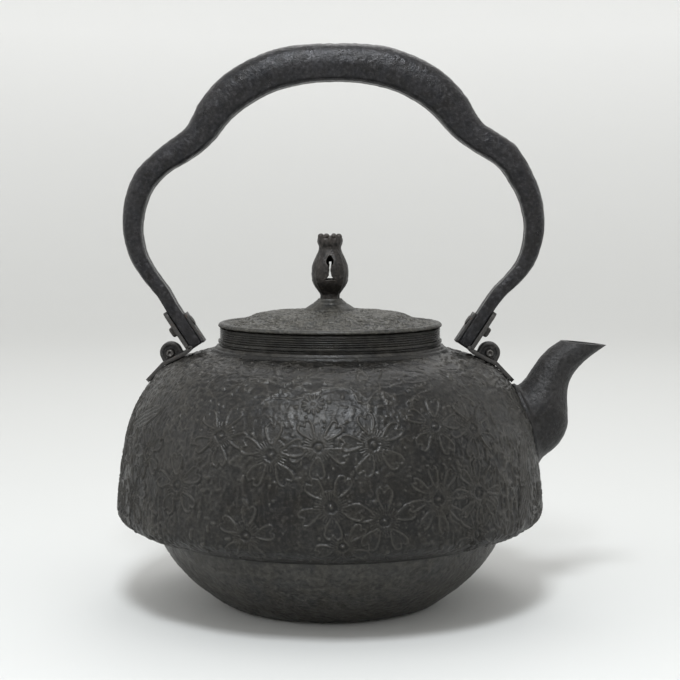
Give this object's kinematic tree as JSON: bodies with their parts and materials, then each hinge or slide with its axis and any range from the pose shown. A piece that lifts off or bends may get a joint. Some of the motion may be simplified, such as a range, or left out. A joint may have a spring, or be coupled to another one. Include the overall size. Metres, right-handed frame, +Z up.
{
  "type": "cast iron teapot",
  "caption": "Round cast iron water kettle with blossom relief, short curved spout, tall fixed bail handle and a lift-off domed lid with a pierced bud knob.",
  "frame": {"origin": "centre of the flat foot, on the table", "axes": "+Z up along the kettle's axis, +X towards the spout, -Y towards a viewer with the spout on the right"},
  "size_m": [0.2071, 0.1806, 0.234],
  "materials": {
    "relief_iron": "rough cast, satin",
    "bowl_iron": "sandy cast",
    "spout_iron": "fine sandy cast, satin",
    "lid_iron": "crepe-textured cast",
    "knob_iron": "rough cast, satin",
    "forged_iron": "hammered, blackened",
    "strap_iron": "hammered, dull"
  },
  "bodies": {
    "kettle": {"body_shell": "relief_iron", "base_bowl": "bowl_iron", "spout": "spout_iron", "lug_left": "relief_iron", "lug_right": "relief_iron", "lug_pin_left": "forged_iron", "lug_pin_right": "forged_iron", "handle": "forged_iron", "strap_left": "strap_iron", "strap_right": "strap_iron", "strap_rivet_left": "strap_iron", "strap_rivet_right": "strap_iron", "back_plate_left": "forged_iron", "back_plate_right": "forged_iron"},
    "lid_body": {"lid": "lid_iron", "knob_washer": "forged_iron"},
    "knob_body": {"knob": "knob_iron", "knob_pin": "forged_iron"}
  },
  "joints": [
    {"name": "lid_lift", "type": "slide", "parent": "kettle", "child": "lid_body", "axis": [0, 0, 1], "range_m": [0, 0.055]},
    {"name": "knob_turn", "type": "hinge", "parent": "lid_body", "child": "knob_body", "pos_m": [0, 0, 0.13], "axis": [0, 0, 1], "continuous": true}
  ]
}
